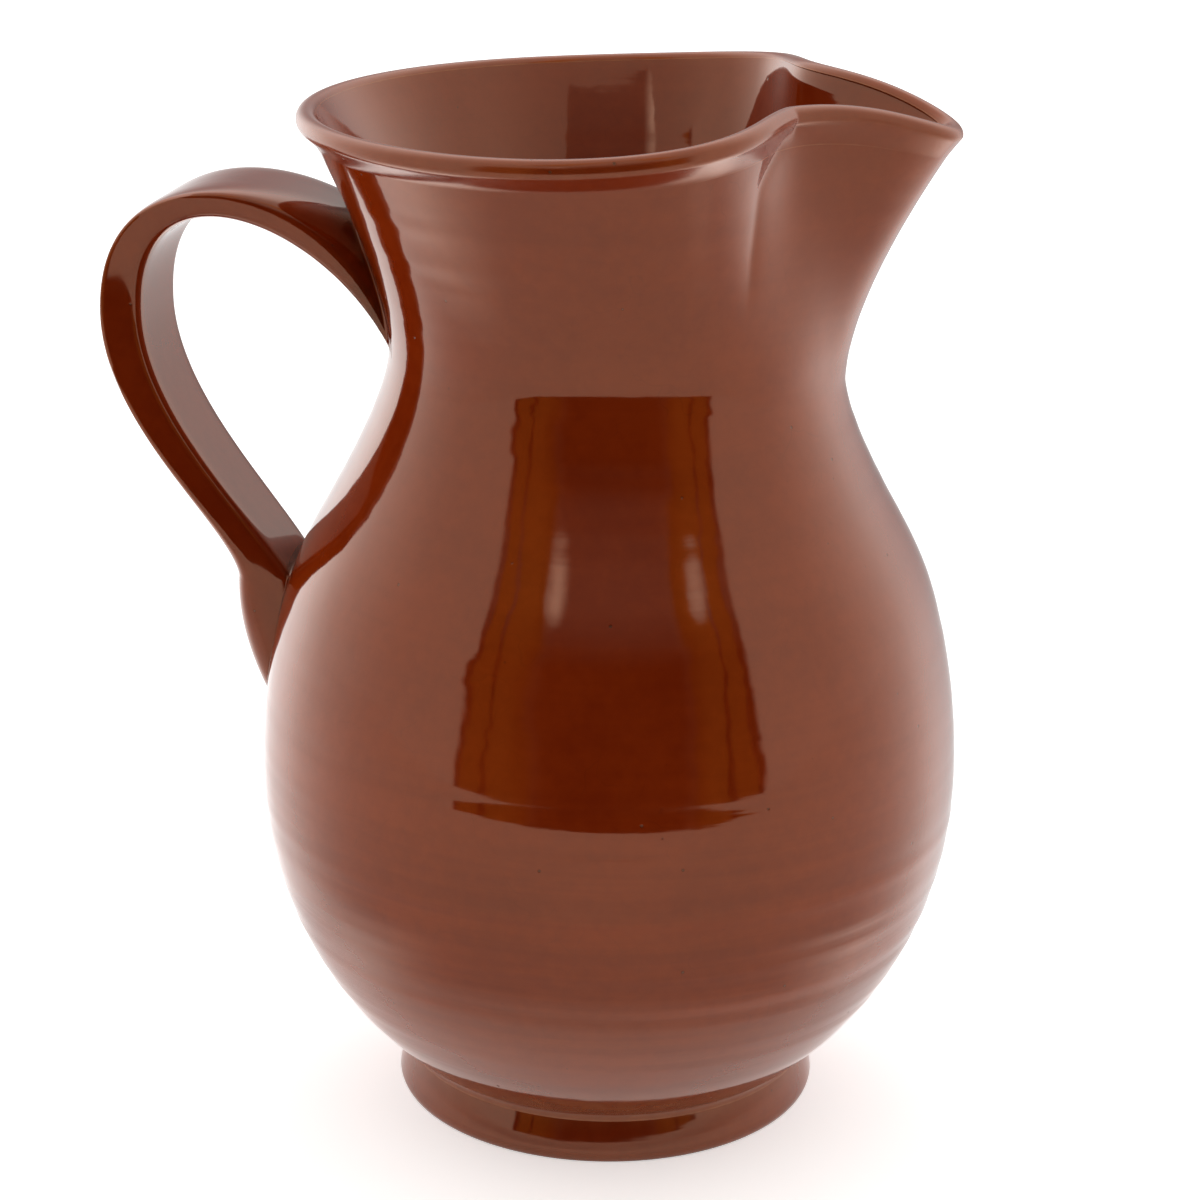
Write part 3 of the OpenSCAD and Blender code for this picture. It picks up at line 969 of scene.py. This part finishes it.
# Every piece rides on the one body and stands for its node
for piece, slot, nodes in (
    (bellyWall, "glazed_clay", ["belly"]), (neckWall, "glazed_clay", ["neck", "shoulder_slip"]),
    (rolledLip, "glazed_clay", ["lip"]), (footRing, "glazed_clay", ["foot_ring"]),
    (footSlip, "luting_slip", ["foot_slip"]), (strapHandle, "glazed_clay", ["handle_strap"]),
    (topSlip, "luting_slip", ["handle_top_slip"]), (tailSlip, "luting_slip", ["handle_tail_slip"]),
):
    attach(piece, "root")
    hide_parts(*nodes)

# Camera at the photograph's place
view = {
    "away": 620 * mm, "height": 318 * mm, "turn": 7.0, "pitch": 18.8, "yaw": -0.2, "roll": 0.56,
    "lens": 94.65, "sensor": 36, "farthest": 50,
}


def makeCamera():
    pitch, yaw, roll = (math.radians(view[k]) for k in ("pitch", "yaw", "roll"))
    forward = Vector((math.sin(yaw) * math.cos(pitch), math.cos(yaw) * math.cos(pitch), -math.sin(pitch)))
    right = Vector((math.cos(yaw), -math.sin(yaw), 0))
    up = right.cross(forward)
    tilted = right * math.cos(roll) + up * math.sin(roll)
    upright = up * math.cos(roll) - right * math.sin(roll)
    axes = Matrix((tilted, upright, -forward)).transposed().to_4x4()
    turn = Matrix.Rotation(math.radians(view["turn"]), 4, "Z")
    deselectAll()
    bpy.ops.object.camera_add()
    camera = newPiece("photoCamera")
    camera.matrix_world = turn @ Matrix.Translation((0, -view["away"], view["height"])) @ axes
    camera.data.lens = view["lens"]
    camera.data.sensor_width = view["sensor"]
    camera.data.clip_end = view["farthest"]
    bpy.context.scene.camera = camera


makeCamera()
print("camera placed")

# Light tent: white all round, brightest at the sides, with its dark opening in front
tent = {
    "near": 0.95, "side": 1.65, "sideFrom": 75, "sideTo": 135, "top": 1.0, "topFrom": 45, "topTo": 70,
    "sink": 0.3, "sinkFrom": -12, "under": 1.3, "underFrom": -34, "underTo": -46, "back": 0.3,
    "half": 50.5, "edge": 1.2, "dark": 0.010, "glowFrom": 22, "glowTo": 46, "glow": 0.30,
    "headTo": 68, "head": 0.45, "warm": (1, 0.48, 0.1, 1), "waves": 3.5,
}
curtain = {    # in the opening, with its angles in radians from the opening's edge
    "glow": 0.32, "from": 0.5, "to": 0.25, "hemFrom": 0.04, "hemTo": 0.07,
    "pleatAt": 0.18, "pleatThin": 0.006, "pleatWide": 0.02, "sway": 0.035,
}
lamps = [    # in the opening
    {"aside": -24, "up": 39, "size": 6.5, "glow": 1.7}, {"aside": 37, "up": 39, "size": 6.5, "glow": 1.3}]
flank = {"aside": -138, "up": 3, "size": 28, "glow": 0.7}    # paler cloth behind the handle
shades = [    # darker cloth behind the jug
    {"aside": 166, "up": 0, "size": 44, "glow": 1.0}, {"aside": 188, "up": 14, "size": 24, "glow": 0.85}]


def facingSplit(tree, source):
    turned = addNode(tree, "ShaderNodeMapping", Vector=source, Rotation=(0, 0, math.radians(-view["turn"])))
    return addNode(tree, "ShaderNodeSeparateXYZ", Vector=turned.outputs["Vector"]).outputs


# Angle to the right of the camera's side
def angleAside(tree, way):
    return sums(tree, "ARCTAN2", way["X"], sums(tree, "MULTIPLY", way["Y"], -1.0))


def spotShare(tree, aside, rise, lamp):
    across = sums(tree, "SUBTRACT", aside, math.radians(lamp["aside"]))
    along = sums(tree, "SUBTRACT", rise, math.radians(lamp["up"]))
    away = sums(tree, "SQRT", sums(
        tree, "MULTIPLY_ADD", across, across, sums(tree, "MULTIPLY", along, along)))
    return softStep(tree, away, math.radians(lamp["size"]), 0.0, 0.0, lamp["glow"])


def makeWorld():
    world = bpy.context.scene.world or bpy.data.worlds.new("lightTent")
    bpy.context.scene.world = world
    world.use_nodes = True
    tree = world.node_tree
    tree.nodes.clear()
    size = {name: math.radians(tent[name]) for name in (
        "sideFrom", "sideTo", "topFrom", "topTo", "sinkFrom", "underFrom", "underTo", "half", "edge",
        "glowFrom", "glowTo", "headTo")}
    facing = addNode(tree, "ShaderNodeTexCoord").outputs["Generated"]
    way = facingSplit(tree, facing)
    turn = angleAside(tree, way)
    rise = sums(tree, "ARCSINE", way["Z"])
    waves = addNode(tree, "ShaderNodeTexNoise", Vector=facing, Scale=tent["waves"], Detail=2.0)
    aside = sums(tree, "ABSOLUTE", turn)
    shift = softStep(tree, waves.outputs["Fac"], 0.3, 0.7, -curtain["sway"], curtain["sway"])
    fold = sums(tree, "ADD", aside, shift)
    opening = softStep(tree, fold, size["half"] + size["edge"], size["half"] - size["edge"])
    cloth = softStep(tree, aside, size["sideFrom"], size["sideTo"], tent["near"], tent["side"])
    top = softStep(tree, rise, size["topFrom"], size["topTo"])
    cloth = blendValue(tree, top, cloth, tent["top"])
    front = softStep(tree, aside, size["sideTo"], size["sideFrom"], 0.0, tent["sink"])
    sink = sums(tree, "MULTIPLY", softStep(tree, rise, size["sinkFrom"], size["underFrom"]), front)
    cloth = sums(tree, "MULTIPLY", cloth, sums(tree, "SUBTRACT", 1.0, sink))
    under = softStep(tree, rise, size["underFrom"], size["underTo"], 0.0, tent["under"])
    cloth = sums(tree, "MULTIPLY_ADD", under, softStep(tree, aside, size["half"], size["sideFrom"]), cloth)
    behind = sums(tree, "MODULO", sums(tree, "ADD", turn, math.tau), math.tau)
    for shade in shades:
        cloth = blendValue(tree, spotShare(tree, behind, rise, shade), cloth, tent["back"])
    cloth = sums(tree, "ADD", cloth, spotShare(tree, turn, rise, flank))
    glow = softStep(tree, rise, size["glowFrom"], size["glowTo"], tent["dark"], tent["glow"])
    head = softStep(tree, rise, size["glowTo"], size["headTo"], 0.0, tent["head"])
    edge = size["half"]
    hang = softStep(tree, fold, edge - curtain["from"], edge - curtain["to"], 0.0, curtain["glow"])
    hem = softStep(tree, fold, edge - curtain["hemFrom"], edge - curtain["hemTo"])
    offPleat = sums(tree, "ABSOLUTE", sums(tree, "SUBTRACT", fold, edge - curtain["pleatAt"]))
    pleat = softStep(tree, offPleat, curtain["pleatThin"], curtain["pleatWide"])
    hang = sums(tree, "MULTIPLY", hang, sums(tree, "MULTIPLY", hem, pleat))
    inside = sums(tree, "ADD", sums(tree, "ADD", glow, head), hang)
    lit = spotShare(tree, turn, rise, lamps[0])
    for lamp in lamps[1:]:
        lit = sums(tree, "ADD", lit, spotShare(tree, turn, rise, lamp))
    inside = sums(tree, "ADD", inside, lit)
    seen = blendValue(tree, opening, cloth, inside)
    path = addNode(tree, "ShaderNodeLightPath")
    level = blendValue(tree, path.outputs["Is Camera Ray"], seen, 1.0)
    warmth = sums(tree, "MULTIPLY", opening, softStep(tree, hang, 0.0, curtain["glow"] * 0.5))
    warmth = sums(tree, "MULTIPLY", warmth, softStep(tree, lit, 0.5, 0.0))
    colour = blendColour(tree, warmth, (1, 1, 1, 1), tent["warm"])
    light = addNode(tree, "ShaderNodeBackground", Color=colour, Strength=level)
    out = addNode(tree, "ShaderNodeOutputWorld")
    tree.links.new(light.outputs["Background"], out.inputs["Surface"])


# Cloth that hangs over the tent's opening, with an arch in the middle of its lower edge
awning = {
    "away": 700 * mm, "low": 660 * mm, "arch": 260 * mm, "top": 1200 * mm, "half": 26, "soft": 3, "ends": 75,
    "steps": 180, "glow": 0.65,
}


def makeAwning():
    deselectAll()
    bpy.ops.mesh.primitive_grid_add(x_subdivisions=awning["steps"], y_subdivisions=1, size=mm)
    cloth = newPiece("tentAwning")
    turn = np.linspace(-awning["ends"], awning["ends"], awning["steps"] + 1)
    past = smoothStep(awning["half"] - awning["soft"], awning["half"] + awning["soft"], np.abs(turn))
    low = awning["low"] + awning["arch"] * (1 - past)
    around = np.radians(turn + view["turn"])
    rows = [
        np.stack([awning["away"] * np.sin(around), -awning["away"] * np.cos(around), height], axis=1)
        for height in (low, np.full(len(turn), awning["top"]))]
    moveVertices(cloth, np.concatenate(rows))
    made, tree = newMaterial("awningCloth")
    tree.nodes.clear()
    coord = addNode(tree, "ShaderNodeTexCoord")
    way = facingSplit(tree, coord.outputs["Object"])
    aside = sums(tree, "ABSOLUTE", angleAside(tree, way))
    fade = softStep(
        tree, aside, math.radians(awning["half"]), math.radians(awning["ends"]), awning["glow"], tent["near"])
    glow = addNode(tree, "ShaderNodeEmission", Color=(1, 1, 1, 1), Strength=fade)
    out = addNode(tree, "ShaderNodeOutputMaterial")
    tree.links.new(glow.outputs[0], out.inputs["Surface"])
    cloth.data.materials.append(made)
    cloth.visible_camera = False


# The table ends in front and thins out to the sides: there only the camera sees it
board = {
    "size": 6.0, "edge": 0.45, "white": 0.92, "lift": 0.5, "liftFrom": 0.06, "liftTo": 0.11,
    "fadeFrom": 0.06, "fadeTo": 0.15, "beyondFrom": 0.10, "beyondTo": 0.16,
    "turnFrom": 40, "turnTo": 78, "wideFrom": 45, "wideTo": 120,
}


def makeTable():
    deselectAll()
    bpy.ops.mesh.primitive_plane_add(size=board["size"], location=(0, 0, 0))
    table = newPiece("whiteTable")
    made, tree = newMaterial("tableWhite")
    tree.nodes.clear()
    coord = addNode(tree, "ShaderNodeTexCoord")
    way = facingSplit(tree, coord.outputs["Object"])
    past = sums(tree, "LESS_THAN", way["Y"], -board["edge"])
    away = addNode(tree, "ShaderNodeVectorMath", {"operation": "LENGTH"})
    fillSocket(tree, away.inputs[0], coord.outputs["Object"])
    far = softStep(tree, away.outputs["Value"], board["fadeFrom"], board["fadeTo"])
    aside = sums(tree, "ABSOLUTE", angleAside(tree, way))
    beside = softStep(tree, aside, math.radians(board["turnFrom"]), math.radians(board["turnTo"]))
    wide = softStep(tree, aside, math.radians(board["wideFrom"]), math.radians(board["wideTo"]))
    beyond = softStep(tree, away.outputs["Value"], board["beyondFrom"], board["beyondTo"])
    sideways = blendValue(tree, beyond, beside, wide)
    unseen = sums(tree, "MAXIMUM", past, sums(tree, "MULTIPLY", far, sideways))
    path = addNode(tree, "ShaderNodeLightPath")
    hidden = sums(tree, "MULTIPLY", unseen, sums(tree, "SUBTRACT", 1.0, path.outputs["Is Camera Ray"]))
    tone = board["white"]
    pale = addNode(tree, "ShaderNodeBsdfDiffuse", Color=(tone, tone, tone, 1))
    # Painted light: for glossy rays the table glows close to the jug, so the jug's shadow on it shows less in
    # reflections
    paintedGlowNear = softStep(tree, away.outputs["Value"], board["liftTo"], board["liftFrom"])
    shown = sums(
        tree, "MULTIPLY_ADD", path.outputs["Is Glossy Ray"], paintedGlowNear, path.outputs["Is Camera Ray"])
    lift = sums(tree, "MULTIPLY", shown, board["lift"])
    glow = addNode(tree, "ShaderNodeEmission", Color=(1, 1, 1, 1), Strength=lift)
    lit = addNode(tree, "ShaderNodeAddShader")
    tree.links.new(pale.outputs[0], lit.inputs[0])
    tree.links.new(glow.outputs[0], lit.inputs[1])
    clear = addNode(tree, "ShaderNodeBsdfTransparent")
    mixed = addNode(tree, "ShaderNodeMixShader", Fac=hidden)
    tree.links.new(lit.outputs[0], mixed.inputs[1])
    tree.links.new(clear.outputs[0], mixed.inputs[2])
    out = addNode(tree, "ShaderNodeOutputMaterial")
    tree.links.new(mixed.outputs[0], out.inputs["Surface"])
    table.data.materials.append(made)


makeWorld()
makeAwning()
makeTable()
bpy.context.scene.view_settings.view_transform = "Standard"
print("tent and table set")
